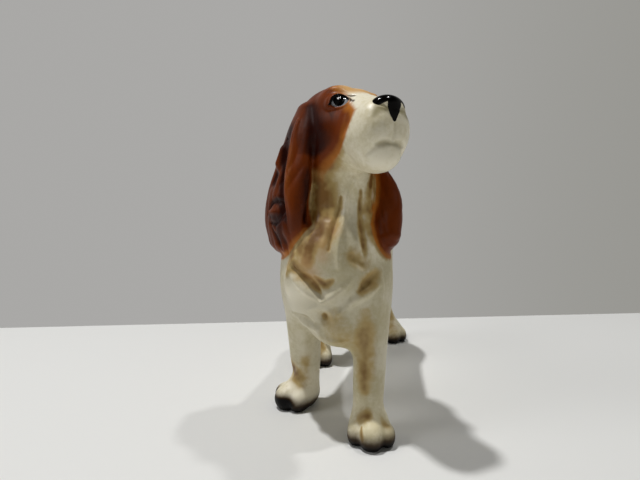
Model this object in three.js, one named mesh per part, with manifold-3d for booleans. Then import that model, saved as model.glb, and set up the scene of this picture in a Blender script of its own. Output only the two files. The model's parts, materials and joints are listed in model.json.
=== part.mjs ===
// A slip-cast ceramic spaniel figurine, standing, with its head lifted and turned to its own left.
//
// The real object is cast in thin clay pieces that are luted together with slip before firing: a hollow
// torso, a hollow head and neck, two ear flaps, four solid legs and a docked tail. Each of those castings
// is one mesh here, and each luting joint is a thin gap that follows the surface of the piece it meets.
//
// Frame: millimetres, +Z up, the dog faces -Y and its left side is +X. The origin is on the table, under the
// middle of the finished dog. The tables below are laid out from a plumb line through the withers instead.

import * as THREE from 'three';
import { mergeVertices } from 'three/addons/utils/BufferGeometryUtils.js';
import Module from 'manifold-3d';

const wasm = await Module();
wasm.setup();

// ---------------------------------------------------------------- driving dimensions

const WALL = 3.4; // slip-cast wall thickness
const JOINT_GAP = 0.3; // clearance at a luting joint
const VENT_RADIUS = 2.2; // hole in the belly that lets the kiln gas out
const HEAD_TURN = 42; // degrees, towards the dog's left
const HEAD_LIFT = 10; // degrees, nose up
const HEAD_TILT = 5; // degrees, left cheek down
const HEAD_CENTRE = new THREE.Vector3(-1, -34, 131); // middle of the skull

const CAVITY = { around: 14, along: 12 }; // facets of a hollow
const LIMB = { around: 18, along: 14 }; // facets of a leg or the tail
const AROUND = 24; // facets round a lofted piece
const ALONG = 18; // facets along a lofted piece

// ---------------------------------------------------------------- shape tables
// Each row of a loft is one ring: x, y, z of its centre, then its half width and half height.
// The first and last rows are the tips, so their rings have no size.

const TORSO = [
  [0, -58.5, 67, 0, 0],
  [0, -57.5, 67, 9, 11],
  [0, -54, 66.5, 15.5, 20],
  [0, -46.5, 66.5, 20.5, 27],
  [0, -36, 68.5, 22.5, 31],
  [0, -22, 72, 22, 30],
  [0, -5, 75, 20.5, 27],
  [0, 13, 77, 18.5, 24],
  [0, 31, 78, 17.5, 22],
  [0, 47, 78, 17.5, 22],
  [0, 60, 77, 14.5, 18],
  [0, 66, 76, 8, 10],
  [0, 68, 76, 0, 0],
];

const NECK = [
  [0, -27, 74, 0, 0],
  [0, -27, 80, 12.5, 21],
  [0, -29, 90, 15.4, 23.4],
  [0, -31.5, 100, 17.3, 21.5],
  [0, -33, 110, 17, 19],
  [-0.5, -34, 119, 16, 17],
  [-1, -34, 127, 14, 14],
  [-1, -34, 134, 0, 0],
];

// The head's own frame has its origin in the middle of the skull, with the nose towards -Y.
const SKULL_AND_MUZZLE = [
  [0, 20, -1, 0, 0],
  [0, 17.5, -1, 9.5, 9.5],
  [0, 10, 0.5, 14.6, 14.8],
  [0, 1, 1.5, 16.4, 16.8],
  [0, -8, -0.3, 16, 16.6],
  [0, -16, -4.7, 13.9, 16],
  [0, -24, -8, 11.4, 14.8],
  [0, -32, -9.5, 9.8, 13.8],
  [0, -38, -9.5, 7.2, 10.5],
  [0, -40, -9, 0, 0],
];

const RIGHT_EAR = [
  [-8.5, -40, 142.5, 0, 0],
  [-11, -42, 138.5, 8, 3.8],
  [-13.3, -43, 131, 10, 4.4],
  [-16.3, -42.5, 121, 11.5, 4.4],
  [-19.6, -42, 111, 13.4, 4.6],
  [-22.4, -41.5, 100, 15.6, 5],
  [-23.6, -41, 88, 14.6, 5],
  [-23.8, -40.5, 81, 10, 3.4],
  [-22, -40.5, 77, 0, 0],
];

const LEFT_EAR = [
  [7.5, -22, 142.5, 0, 0],
  [9, -22, 138.5, 8, 3.8],
  [10.5, -22, 131, 10, 4.2],
  [11.5, -22, 121, 11.5, 4.4],
  [13.3, -22, 111, 12.5, 4.4],
  [16.8, -22, 101, 13.5, 4.4],
  [19, -22, 91, 14, 4.4],
  [19.7, -22, 82, 11, 4],
  [19.5, -22, 75.2, 0, 0],
];

const TAIL = [
  [0, 54, 84, 0, 0],
  [0, 56, 85, 7, 7],
  [0, 64, 88, 6.6, 6.6],
  [0, 72, 91.5, 6, 6],
  [0, 79, 95, 4.8, 4.8],
  [0, 83, 97, 0, 0],
];

const LEGS = {
  front_left_leg: {
    rings: [
      [14, -36, 88, 0, 0],
      [15, -37, 80, 8, 10],
      [16.5, -38, 64, 8.5, 12],
      [17, -41, 50, 7.8, 10.5],
      [16.8, -44, 38, 7.2, 8.2],
      [16.6, -46, 26, 6.9, 7],
      [16.4, -47.5, 14, 6.8, 7],
      [16.4, -48.5, 6, 7, 7.5],
      [16.4, -49, 3, 0, 0],
    ],
    foot: { at: [18.4, -52.4, 0], turn: 0 },
  },
  front_right_leg: {
    rings: [
      [-14, -36, 88, 0, 0],
      [-15, -35, 80, 8, 10],
      [-16.5, -33, 64, 8.6, 12],
      [-16.8, -30, 50, 8, 10.5],
      [-16.6, -28, 38, 7.8, 8.6],
      [-16.4, -26, 26, 7.5, 7.4],
      [-16.4, -25, 14, 7, 7],
      [-17, -25, 6, 7, 7.5],
      [-17, -25, 3, 0, 0],
    ],
    foot: { at: [-20.8, -26, 0], turn: -47 },
  },
  back_left_leg: {
    rings: [
      [10, 46, 88, 0, 0],
      [11, 46, 82, 8, 12],
      [12.5, 46, 68, 8, 14],
      [13.5, 49, 54, 7.5, 11.5],
      [13, 61, 42, 6, 8],
      [12.6, 76, 32, 5, 6.4],
      [14, 83, 22, 4.8, 5.8],
      [17, 84, 12, 5.4, 6],
      [18.6, 84, 5, 6, 6.5],
      [18.6, 84, 3, 0, 0],
    ],
    foot: { at: [19, 82, 0], turn: 8 },
  },
  back_right_leg: {
    rings: [
      [-11, 44, 88, 0, 0],
      [-12, 43, 82, 8, 12],
      [-14, 40, 68, 8.4, 13],
      [-15.5, 33, 54, 7.2, 11],
      [-17, 30, 42, 6, 8.5],
      [-19, 34, 32, 5.4, 7],
      [-20.5, 35, 22, 5.2, 5.8],
      [-21.5, 33, 12, 5.8, 6],
      [-22, 32, 5, 6, 6.5],
      [-22, 32, 3, 0, 0],
    ],
    foot: { at: [-22.5, 30, 0], turn: -8 },
  },
};

// Ellipsoids: x, y, z of the centre, then the three half axes.
const FOOT = [
  [0, 1.5, 4.5, 7.6, 8.5, 7],
  [-3.1, -6.2, 4.4, 3.6, 5, 5.4],
  [3.1, -6.2, 4.4, 3.6, 5, 5.4],
  [-6.6, -3.2, 4, 3.2, 4.8, 4.8],
  [6.6, -3.2, 4, 3.2, 4.8, 4.8],
];

const FACE = [
  [-7.5, -13, 9.2, 5.5, 5, 4.5], // brows
  [7.5, -13, 9.2, 5.5, 5, 4.5],
  [-10.3, -17.3, 5, 4.2, 3.8, 4], // eyeballs
  [10.3, -17.3, 5, 4.2, 3.8, 4],
  [-4.8, -31, -8.5, 6.4, 9.3, 9.5], // flews
  [4.8, -31, -8.5, 6.4, 9.3, 9.5],
  [0, -38, -0.5, 7.4, 3.8, 4.4], // nose leather
  [0, -30.5, -19, 7, 7, 5], // chin
];

// ---------------------------------------------------------------- materials

const creamGlaze = new THREE.MeshStandardMaterial({ color: 0xd8cfb4, roughness: 0.35, metalness: 0 });
const chestnutGlaze = new THREE.MeshStandardMaterial({ color: 0x6a2c10, roughness: 0.35, metalness: 0 });

// ---------------------------------------------------------------- solids and geometry

function solidOf(geometry) {
  geometry.deleteAttribute('normal');
  geometry.deleteAttribute('uv');
  const merged = mergeVertices(geometry, 1e-4);
  return new wasm.Manifold(new wasm.Mesh({
    numProp: 3,
    vertProperties: merged.attributes.position.array,
    triVerts: new Uint32Array(merged.index.array),
  }));
}

function geometryOf(solid) {
  const mesh = solid.getMesh();
  const geometry = new THREE.BufferGeometry();
  geometry.setAttribute('position', new THREE.BufferAttribute(mesh.vertProperties, 3));
  geometry.setIndex(new THREE.BufferAttribute(mesh.triVerts, 1));
  geometry.computeVertexNormals();
  return geometry;
}

const union = (solids) => solids.reduce((all, solid) => all.add(solid));

// A closed skin through a row of elliptical rings, each square to the line through their centres.
// `side` is the direction of the first half axis, and `grow` makes every ring that much larger.
function loft(rings, { side = [1, 0, 0], grow = 0, around = AROUND, along = ALONG } = {}) {
  const centreLine = new THREE.CatmullRomCurve3(rings.map(([x, y, z]) => new THREE.Vector3(x, y, z)));
  const halfAxes = new THREE.CatmullRomCurve3(rings.map(([, , , a, b]) => new THREE.Vector3(a, b, 0)));
  const geometry = new THREE.SphereGeometry(1, around, along);
  const points = geometry.attributes.position;
  const ball = new THREE.Vector3();
  for (let i = 0; i < points.count; i += 1) {
    ball.fromBufferAttribute(points, i);
    const share = Math.acos(THREE.MathUtils.clamp(ball.y, -1, 1)) / Math.PI;
    const tangent = centreLine.getTangent(share);
    const first = new THREE.Vector3(...side).addScaledVector(tangent, -tangent.dot(new THREE.Vector3(...side)));
    first.normalize();
    const second = new THREE.Vector3().crossVectors(tangent, first);
    const size = halfAxes.getPoint(share);
    const radial = Math.hypot(ball.x, ball.z) || 1;
    const point = centreLine.getPoint(share)
      .addScaledVector(tangent, -grow * Math.cos(share * Math.PI))
      .addScaledVector(first, (size.x + grow * Math.sin(share * Math.PI)) * (ball.x / radial))
      .addScaledVector(second, (size.y + grow * Math.sin(share * Math.PI)) * (ball.z / radial));
    points.setXYZ(i, point.x, point.y, point.z);
  }
  return geometry;
}

function ellipsoid([x, y, z, a, b, c]) {
  return new THREE.SphereGeometry(1, 12, 8).rotateX(Math.PI / 2).scale(a, b, c).translate(x, y, z);
}

// The rings of the hollow inside a casting: the same form, one wall thickness in.
function insideOf(rings) {
  const tip = (end, next) => {
    const from = new THREE.Vector3(...end.slice(0, 3));
    const towards = new THREE.Vector3(...next.slice(0, 3)).sub(from).normalize();
    const moved = from.addScaledVector(towards, WALL);
    return [moved.x, moved.y, moved.z, 0, 0];
  };
  const middle = rings.slice(2, -2).map(([x, y, z, a, b]) => [x, y, z, a - WALL, b - WALL]);
  return [tip(rings[0], rings[2]), ...middle, tip(rings.at(-1), rings.at(-3))];
}

// ---------------------------------------------------------------- the castings

const headPose = new THREE.Matrix4()
  .makeRotationZ(THREE.MathUtils.degToRad(HEAD_TURN))
  .multiply(new THREE.Matrix4().makeRotationX(THREE.MathUtils.degToRad(-HEAD_LIFT)))
  .multiply(new THREE.Matrix4().makeRotationY(THREE.MathUtils.degToRad(HEAD_TILT)))
  .setPosition(HEAD_CENTRE);

const headSolid = (rings, options) => solidOf(loft(rings, options).applyMatrix4(headPose));
const belowTable = solidOf(new THREE.BoxGeometry(400, 400, 60).translate(0, 0, -30));
const neckHollow = solidOf(loft(insideOf(NECK), CAVITY));

function torso() {
  const vent = new THREE.CylinderGeometry(VENT_RADIUS, VENT_RADIUS, 24, 24).rotateX(Math.PI / 2);
  return solidOf(loft(TORSO, { along: 24 }))
    .subtract(solidOf(loft(insideOf(TORSO), CAVITY)))
    .subtract(neckHollow)
    .subtract(solidOf(vent.translate(0, 18, 54)));
}

function head() {
  const face = FACE.map((blob) => solidOf(ellipsoid(blob).applyMatrix4(headPose)));
  return union([headSolid(SKULL_AND_MUZZLE), solidOf(loft(NECK)), ...face])
    .subtract(torsoClearance)
    .subtract(headSolid(insideOf(SKULL_AND_MUZZLE), CAVITY))
    .subtract(neckHollow);
}

function leg({ rings, foot }) {
  const turn = THREE.MathUtils.degToRad(foot.turn);
  const toes = FOOT.map((blob) => solidOf(ellipsoid(blob).rotateZ(turn).translate(...foot.at)));
  return union([solidOf(loft(rings, LIMB)), ...toes])
    .subtract(torsoClearance)
    .subtract(belowTable);
}

const torsoClearance = solidOf(loft(TORSO, { grow: JOINT_GAP, along: 24 }));
const headClearance = union([
  headSolid(SKULL_AND_MUZZLE, { grow: JOINT_GAP }),
  solidOf(loft(NECK, { grow: JOINT_GAP })),
]);

const shoulderClearance = union([LEGS.front_left_leg, LEGS.front_right_leg]
  .map(({ rings }) => solidOf(loft(rings, { grow: JOINT_GAP, ...LIMB }))));

function ear(rings) {
  const turn = THREE.MathUtils.degToRad(HEAD_TURN);
  const alongHead = [Math.sin(turn), -Math.cos(turn), 0];
  return solidOf(loft(rings, { side: alongHead }))
    .subtract(headClearance)
    .subtract(torsoClearance)
    .subtract(shoulderClearance);
}

const tail = () => solidOf(loft(TAIL, LIMB)).subtract(torsoClearance);

// ---------------------------------------------------------------- the assembly

function casting(name, solid, material) {
  const mesh = new THREE.Mesh(geometryOf(solid), material);
  mesh.name = name;
  return mesh;
}

const figurine = new THREE.Group();
figurine.add(casting('torso', torso(), creamGlaze));
figurine.add(casting('head', head(), chestnutGlaze));
figurine.add(casting('right_ear', ear(RIGHT_EAR), chestnutGlaze));
figurine.add(casting('left_ear', ear(LEFT_EAR), chestnutGlaze));
for (const [name, shape] of Object.entries(LEGS)) {
  figurine.add(casting(name, leg(shape), creamGlaze));
}
figurine.add(casting('tail', tail(), chestnutGlaze));

// The soles stay on the table, and the middle of the whole dog comes over the origin.
const middle = new THREE.Box3().setFromObject(figurine).getCenter(new THREE.Vector3());
for (const mesh of figurine.children) {
  mesh.geometry.translate(-middle.x, -middle.y, 0);
}

export default figurine;
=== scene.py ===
"""A glazed ceramic spaniel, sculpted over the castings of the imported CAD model.

The nine castings of a real figurine are luted together and sponged smooth before firing, so their joints
don't show under the glaze. This script therefore sculpts the whole dog as one surface and cuts it along the
joints: each piece replaces one CAD node and meets its neighbours without a visible seam.

Lengths in the sculpture are millimetres from a plumb line through the withers, as the castings are laid
out. Blender's objects are in metres, in the frame of the CAD model.
"""

import json
import math
from collections import Counter

import bpy
import numpy as np
from mathutils import Matrix, Vector


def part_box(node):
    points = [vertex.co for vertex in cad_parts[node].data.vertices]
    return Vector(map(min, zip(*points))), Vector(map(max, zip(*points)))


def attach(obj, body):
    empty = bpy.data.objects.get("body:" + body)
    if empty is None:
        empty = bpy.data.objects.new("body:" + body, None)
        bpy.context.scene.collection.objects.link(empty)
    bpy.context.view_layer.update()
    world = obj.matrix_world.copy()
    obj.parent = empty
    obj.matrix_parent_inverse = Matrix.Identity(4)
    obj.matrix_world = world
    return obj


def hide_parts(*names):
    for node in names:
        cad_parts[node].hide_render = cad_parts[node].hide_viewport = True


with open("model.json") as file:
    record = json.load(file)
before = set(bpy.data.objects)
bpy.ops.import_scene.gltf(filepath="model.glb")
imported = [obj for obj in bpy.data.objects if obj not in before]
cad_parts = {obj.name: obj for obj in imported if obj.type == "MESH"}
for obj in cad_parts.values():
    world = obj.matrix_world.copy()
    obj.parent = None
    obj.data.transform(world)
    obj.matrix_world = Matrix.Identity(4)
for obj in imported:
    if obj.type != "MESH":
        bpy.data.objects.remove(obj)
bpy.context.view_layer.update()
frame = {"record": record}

# ---------------------------------------------------------------- driving dimensions

MM = 0.001
RUMP = 68.0  # how far the torso reaches behind the plumb line

HEAD_TURN = math.radians(42)  # towards the dog's left
HEAD_LIFT = math.radians(10)  # nose up
HEAD_TILT = math.radians(5)  # left cheek down
HEAD_CENTRE = np.array([-1.0, -34.0, 131.0])  # middle of the skull

STEP = 0.55  # size of a face of the sculpture
FEATURE_STEP = 0.3  # the eyes and the nose get faces smaller than this
FEATURE_REACH = 9.0  # how far from the middle of an eye the first of these faces are
NOSE_REACH = 1.2  # for the nose, this many times as far
FEATURE_INSET = 2.5  # each finer patch stays this many faces inside the patch before it
COARSE = 4  # the first search for the surface uses steps this many times longer
SEARCH_MARGIN = 4  # how far around the CAD's castings the surface is looked for
FOLD_DEPTH = 1.6  # how deep the folds of the coat are pressed
FOLD_FADE = 0.5  # how much of its height a fold loses at its ends
REACH = 14.0  # fields are exact up to this distance from their shape
TINY = 1e-9  # keeps a division by zero away

torso_low, torso_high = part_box("torso")
PLUMB = np.array([(torso_low[0] + torso_high[0]) / 2, torso_high[1] - RUMP * MM, 0.0])

# ---------------------------------------------------------------- shape tables
# A row of a tube is x, y, z of a ring's centre, then its half width and half height.
# A row of blobs is x, y, z of an ellipsoid's centre, then its three half axes.

TORSO = [
    (0, -47, 66.5, 19, 25.5),
    (0, -36, 68.5, 22.0, 30.2),
    (0, -22, 72, 21.6, 29.6),
    (0, -5, 75, 20.2, 26.6),
    (0, 13, 77, 18.3, 23.6),
    (0, 31, 78, 17.3, 21.6),
    (0, 47, 77.5, 17.2, 21.6),
    (0, 56, 77, 14.8, 18.2),
]
NECK = [
    (0, -28, 82, 13, 21),
    (0, -29.5, 91, 15.6, 23),
    (0, -31.5, 100, 17, 21),
    (0, -33, 110, 16.6, 18.6),
    (-0.5, -34, 119, 15.6, 16.6),
    (-1, -34, 127, 14, 14),
]
SKULL = [
    (0, 14, 0, 11, 12),
    (0, 8, 0.6, 15, 15),
    (0, 0, 1.4, 16.3, 16.6),
    (0, -7, 0, 15.8, 16.4),
    (0, -14, -3, 14.2, 15.6),
    (0, -20, -5.6, 12.2, 14.8),
    (0, -27, -8, 10.4, 14),
    (0, -33, -9.2, 9.2, 13),
]
BRISKET = (3, -46, 48, 9.5, 10, 9)  # the fringe of the chest hangs between the forelegs
FACE_BLOBS = [
    (-4.9, -31, -8.6, 6.3, 9.4, 9.6),  # flews
    (4.9, -31, -8.6, 6.3, 9.4, 9.6),
    (0, -30.5, -18.6, 7, 7, 5.2),  # chin
    (-7.2, -13, 8.6, 5.4, 5, 4.6),  # brows
    (7.2, -13, 8.6, 5.4, 5, 4.6),
]
NOSE = (0.4, -37.7, -0.8, 6.7, 4.2, 4.4)
EYE = (10.3, -16.9, 5, 4.0, 4.0, 3.9)  # the left one; the right one is its mirror image

RIGHT_EAR = [
    (-11, -42, 138.5, 8, 3.8),
    (-13.3, -43, 131, 10, 4.3),
    (-16, -42.8, 121, 12, 4.4),
    (-18.3, -42.5, 111, 14.6, 5.4),
    (-20.8, -41.9, 100, 16.6, 6),
    (-22.1, -41.2, 90, 16, 6),
    (-22.3, -40.6, 83, 13.6, 4.8),
]
LEFT_EAR = [
    (9, -22, 138.5, 8, 3.8),
    (10.5, -22, 131, 10, 4.2),
    (11.5, -22, 121, 11.5, 4.4),
    (12.8, -22.4, 111, 12.5, 5.2),
    (17, -26.8, 101, 13.5, 5.8),
    (19.2, -34, 91, 13, 6.4),
    (20.6, -38.5, 84, 10.4, 5.8),
]
TAIL = [
    (0, 58, 85, 6.6, 6.6),
    (0, 66, 88.5, 6.4, 6.4),
    (0, 74, 92.5, 5.6, 5.6),
    (0, 79, 95, 4.6, 4.6),
]
LEGS = {
    "front_left_leg": {
        "rings": [
            (15, -37, 82, 7.5, 10),
            (16.5, -38, 64, 8.2, 11.8),
            (17, -41, 50, 7.8, 10.4),
            (16.8, -44, 38, 7.2, 8.2),
            (16.6, -46, 26, 6.9, 7.2),
            (16.4, -47.5, 14, 6.5, 7),
            (16.6, -48.5, 8, 6.8, 7.4),
        ],
        "foot": (18.4, -52.4),
        "turn": 0,
    },
    "front_right_leg": {
        "rings": [
            (-15, -35, 82, 7.5, 10),
            (-16.5, -33, 64, 8.4, 11.8),
            (-16.8, -30, 50, 8, 10.4),
            (-16.6, -28, 38, 7.7, 8.6),
            (-16.4, -26, 26, 7.4, 7.4),
            (-16.6, -25, 14, 6.8, 7),
            (-17.2, -25, 8, 7, 7.4),
        ],
        "foot": (-20.8, -26),
        "turn": -47,
    },
    "back_left_leg": {
        "rings": [
            (11, 46, 80, 7.5, 12),
            (12.5, 46, 68, 8, 14),
            (13.5, 49, 54, 7.5, 11.5),
            (13, 61, 42, 6, 8),
            (12.6, 76, 32, 5, 6.4),
            (14, 83, 22, 4.8, 5.8),
            (17, 84, 12, 5.4, 6),
            (18.4, 84, 8, 6, 6.4),
        ],
        "foot": (19, 82),
        "turn": 8,
    },
    "back_right_leg": {
        "rings": [
            (-12, 43, 80, 7.5, 12),
            (-14, 40, 68, 8.4, 13),
            (-15.5, 33, 54, 7.2, 11),
            (-17, 30, 42, 6, 8.5),
            (-19, 34, 32, 5.4, 7),
            (-20.5, 35, 22, 5.2, 5.8),
            (-21.5, 33, 12, 5.8, 6),
            (-21.9, 32, 8, 6, 6.4),
        ],
        "foot": (-22.5, 30),
        "turn": -8,
    },
}
FOOT_PAD = (0, 1.5, 4.5, 7.2, 8.2, 7)
TOES = [
    (-6.5, -3.6, 4.2, 3.2, 4.7, 5),
    (-0.8, -6.4, 4.8, 3.8, 5, 5.7),
    (2.2, -6.4, 4.8, 3.6, 5, 5.7),
    (7.4, -2.9, 4, 2.9, 4.5, 4.7),
]

# How wide the fillet is where one form melts into another.
FILLETS = {
    "face": 5, "eye": 1.2, "nose": 1.6, "neck": 9, "toe": 2.8, "pad": 3, "paw": 6, "brisket": 8,
    "leg": 9, "head": 10, "tail": 6, "ear": 1.6,
}
# Combed fur is how far its locks stand out, how wide they are and how much they sway.
FUR = {
    "ear": (0.28, 4.6, 0.3),
    "leg": (0.6, 3.0, 0.35),
    "skirt": (0.7, 5.0, 0.35),
    "flank": (0.22, 6.0, 0.5),
    "tail": (0.5, 3.4, 0.3),
}
# A fold is its half width, its height (negative for a groove) and the points that it runs through.
COAT_FOLDS = [
    (1.7, 1.0, [
        (9.5, -49, 110), (7, -50, 104), (6.5, -51.5, 97),
        (5.5, -55.5, 89.5), (4.7, -58, 82), (5, -58.5, 75),
    ]),
    (2.7, -1.1, [(12.3, -46, 101), (13, -47.2, 93.5), (14.2, -50.2, 86.5), (15, -53, 80)]),
    (1.3, -0.8, [(5, -51, 103), (4.2, -52, 97), (2.4, -56, 89.5), (1, -58.4, 82)]),
    (3.0, -0.5, [(-1.4, -53, 97), (-1, -53.5, 95)]),
    (2.8, -0.8, [(-4.6, -55.5, 90), (-3.8, -56.5, 88)]),
    (2.4, -0.7, [(-8.6, -50, 104), (-8, -53, 95), (-9, -56, 86)]),
    (2.1, -1.4, [
        (-16, -53.6, 74), (-10.5, -57, 70.5), (-6.5, -58, 68),
        (-3.5, -58, 64.6), (-2, -57.8, 62.6),
    ]),
    (2.0, -0.9, [(-4.6, -58.5, 70.5), (-1, -58.8, 67.8), (2.6, -58.9, 69.6)]),
    (1.8, 1.1, [(-15.5, -54, 70), (-12.5, -56, 67.6), (-7.5, -57.3, 64), (-2, -57.5, 60.8)]),
    (1.8, 0.7, [(-2, -57.5, 60.8), (2.7, -58, 63.6), (7, -57.8, 66.6), (10, -57.4, 70)]),
    (2.4, -1.4, [(14.4, -55, 66), (17.5, -54, 69), (21, -51, 72.5)]),
    (2.0, -0.9, [(11.3, -56, 78.8), (14.6, -54.5, 76.3)]),
    (2.8, 0.9, [(0.8, -58.6, 60.4), (1.6, -58.7, 61.6)]),
    (1.8, -1.3, [(-1.3, -56.7, 53.8), (-1.1, -56.7, 53.2)]),
    (1.5, 0.6, [(-4.4, -56.4, 54), (-2.3, -57.8, 57.2), (1.4, -57.4, 56), (2.6, -56.6, 52.6)]),
    (1.9, 0.9, [
        (21, -50.5, 67.4), (16.3, -53.9, 63.8), (11.4, -55.9, 61.2),
        (6.3, -55.6, 57.9), (4.4, -56.7, 55),
    ]),
    (1.7, 0.9, [(-8.1, -54.9, 55.9), (-4.3, -57.4, 58.4), (-2.2, -59, 61.3)]),
    (1.6, -0.7, [(4, -55.6, 57), (7.5, -56, 59), (10, -56.5, 63)]),
    (1.8, 0.8, [(-15.3, -53.4, 76.6), (-17.8, -51.6, 68.7), (-19, -49.1, 61.5)]),
    (1.7, 0.9, [
        (-18, -44, 51), (-13.4, -48.5, 48.9), (-5, -54.5, 48.2),
        (-2.8, -54.7, 45.4), (1, -54.9, 43.3), (5.7, -54.5, 43.2),
    ]),
    (1.3, -0.8, [(-17, -46, 51.6), (-11, -52, 51.8), (-6, -54, 50.6)]),
    (1.4, 0.6, [(20.4, -48.6, 78), (21.4, -49, 68), (21, -49, 58)]),
    (4.0, -0.6, [(15.8, -52, 49), (15.3, -52, 39.5), (15.8, -52.8, 30.5)]),
    (2.6, 0.5, [(20, -51.5, 52), (19.6, -52, 38), (19, -54, 22)]),
    (2.6, -0.9, [(-24, -28, 16.5), (-21.5, -30, 20)]),
    (2.4, 0.7, [(-14.5, -38, 44), (-13.6, -36, 30), (-13.4, -34, 16)]),
    (2.6, 1.1, [
        (-13.8, -47.2, 134), (-15.8, -48, 126), (-16.3, -49.4, 117),
        (-16.8, -51, 107), (-15.4, -52.4, 99), (-14.6, -52, 91),
    ]),
    (1.8, -1.2, [
        (-20.2, -43, 127), (-20.7, -46, 116), (-21.5, -48.3, 105.6),
        (-19.6, -50.8, 96.5), (-16.6, -51.5, 88),
    ]),
    (1.5, -1.0, [
        (-29.6, -41.4, 95), (-27, -44.2, 100), (-22.6, -48.4, 100.6),
        (-20.8, -50, 96), (-23.5, -48, 91.8), (-28, -43.6, 91),
    ]),
    (1.5, 0.7, [(-27.4, -43.6, 95.6), (-24.6, -47, 96.4)]),
    (1.3, -0.7, [(-10.4, -51.6, 115), (-11.4, -51.8, 105.7), (-12.3, -52.5, 97.5), (-15, -51, 87)]),
    (2.6, 1.1, [(-21.7, -42.4, 122.6), (-24.4, -41.6, 117)]),
    (2.4, -1.0, [(-26, -41.4, 112), (-27.4, -41, 109)]),
    (1.6, -0.8, [(-27, -44.6, 89), (-24.8, -46.6, 84), (-22, -47.4, 80)]),
    (1.4, -0.7, [(-20.4, -49, 90), (-19, -49, 84), (-18, -48.6, 79)]),
    (2.2, 0.8, [(21.6, -32.6, 110), (23.4, -33.4, 101), (23.8, -33, 90), (23.6, -32, 82)]),
    (1.6, -0.9, [(25, -31.6, 106), (26.4, -32, 97), (26, -32, 88)]),
    (1.6, -0.8, [(18.6, -32.4, 108), (19, -32.4, 99), (20.4, -33, 90)]),
]
# The folds of the face are those of its right side, in the head's own frame. The left side mirrors them.
FACE_FOLDS = [
    (1.9, 0.8, [(-13, -15, 11), (-10, -17.6, 11.8), (-7.4, -20.4, 10.2)]),
    (0.9, -0.6, [(-7.6, -22.6, 5.4), (-6.3, -23.4, 7.1), (-4.8, -26.4, 6.2)]),
    (2.2, -0.7, [(0, -12, 16.5), (0, -17.6, 11), (0, -22, 8)]),
    (1.2, -1.0, [
        (0, -39.5, -15.2), (-2.5, -39.6, -14.8), (-5.1, -39, -15.6),
        (-7, -37, -17.2), (-7.9, -34, -19),
    ]),
    (0.8, -0.5, [(0, -41.1, -7.5), (0, -40.8, -11), (0, -40, -14.6)]),
    (0.9, -0.7, [(-6.4, -39.6, -1.5), (-4.4, -40.8, -1.5), (-3, -41.3, -2.6)]),
    (2.4, -0.5, [(-15.7, -7, 6), (-15.9, -9, -2), (-15, -8, -8), (-14, -5, -15.5), (-13.6, -2.7, -21)]),
    (2.6, -0.6, [(-9.7, -26, -1), (-11.5, -27, -5), (-11.8, -24, -9)]),
    (0.7, -0.3, [(-7.5, -40, -10), (-7.6, -39.8, -10.6)]),
    (1.4, -0.8, [(-8.6, -13.7, -18), (-5.3, -15.2, -20.3), (-1.7, -15.5, -22), (0, -15.6, -22.4)]),
    (1.2, 0.5, [(-8.4, -17, -17), (-5, -22, -20.4), (-2.4, -27, -23)]),
    (0.9, -0.4, [(-9.4, -20, -15.6), (-7, -24, -18), (-5, -28, -20)]),
]
# An eye faces along its own axes: towards the nose and up, from the middle of the eyeball's face.
EYE_PLACE = np.array([-10.7, -21.0, 5.0])
EYE_ACROSS = np.array([0.861, -0.508, 0.0])
EYE_WIDE = 8.0
NOSE_PLACE = np.array([0, -39.5, -1.5])
UPPER_LID = [(-3.6, -1.2), (-2.5, 1.2), (-0.2, 2.5), (2.2, 1.8), (3.8, -0.2)]
LOWER_LID = [(-3.6, -1.2), (-2.0, -2.2), (0.4, -2.5), (2.4, -1.9), (3.8, -0.2)]
PUPIL = (-0.2, 0.2, 2.35)  # its middle and its radius
GLINT = (-0.5, 1.0, 0.45)
LASH_LINE = 0.34  # half the width of the black line on the upper lid
BEYOND = -3  # what the masks of an eye hold where there is no eye

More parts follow.
